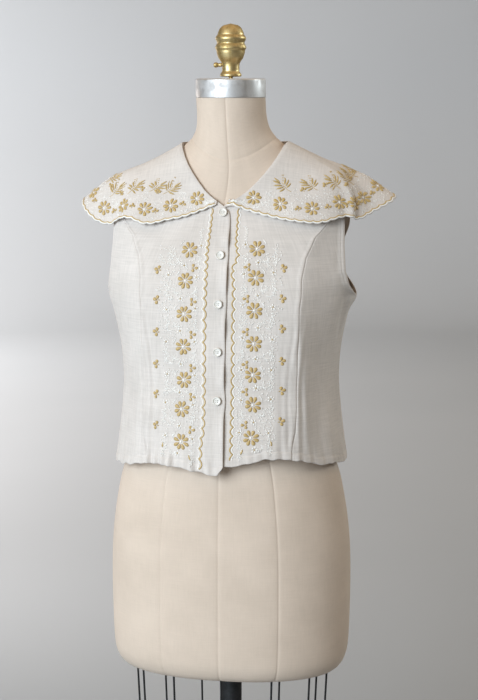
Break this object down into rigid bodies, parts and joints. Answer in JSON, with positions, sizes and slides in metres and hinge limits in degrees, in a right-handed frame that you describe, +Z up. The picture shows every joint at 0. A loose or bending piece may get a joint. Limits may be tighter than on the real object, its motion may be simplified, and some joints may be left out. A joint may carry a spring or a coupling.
{
  "type": "embroidered top on a dress form",
  "caption": "Sleeveless button-front cotton top with a wide cape collar and floral embroidery, on a limbless dress form with a pole stand.",
  "frame": {"origin": "centre of the stand's round base, on the floor under the pole", "axes": "+Z up along the pole, -Y towards the viewer of the top's front, +X to the wearer's left"},
  "size_m": [0.54, 0.54, 1.5863],
  "materials": {
    "linen": "matt plain-weave off-white cotton with white and gold satin-stitch embroidery",
    "button": "pearly white",
    "canvas": "tight cream canvas cover",
    "black_iron": "satin black",
    "brass": "aged, polished on the swells",
    "steel": "dull spun metal"
  },
  "bodies": {
    "root": {"front_left": "linen", "front_right": "linen", "side_front_left": "linen", "side_front_right": "linen", "back": "linen", "collar": "linen", "button_1": "button", "button_2": "button", "button_3": "button", "button_4": "button", "button_5": "button", "dress_form": "canvas", "neck_cap": "steel", "finial": "brass", "finial_screw": "brass", "pole": "black_iron", "base": "black_iron", "cage_hoop": "black_iron", "cage_wire_01": "black_iron", "cage_wire_02": "black_iron", "cage_wire_03": "black_iron", "cage_wire_04": "black_iron", "cage_wire_05": "black_iron", "cage_wire_06": "black_iron", "cage_wire_07": "black_iron", "cage_wire_08": "black_iron", "cage_wire_09": "black_iron", "cage_wire_10": "black_iron", "cage_wire_11": "black_iron", "cage_wire_12": "black_iron"}
  },
  "joints": []
}
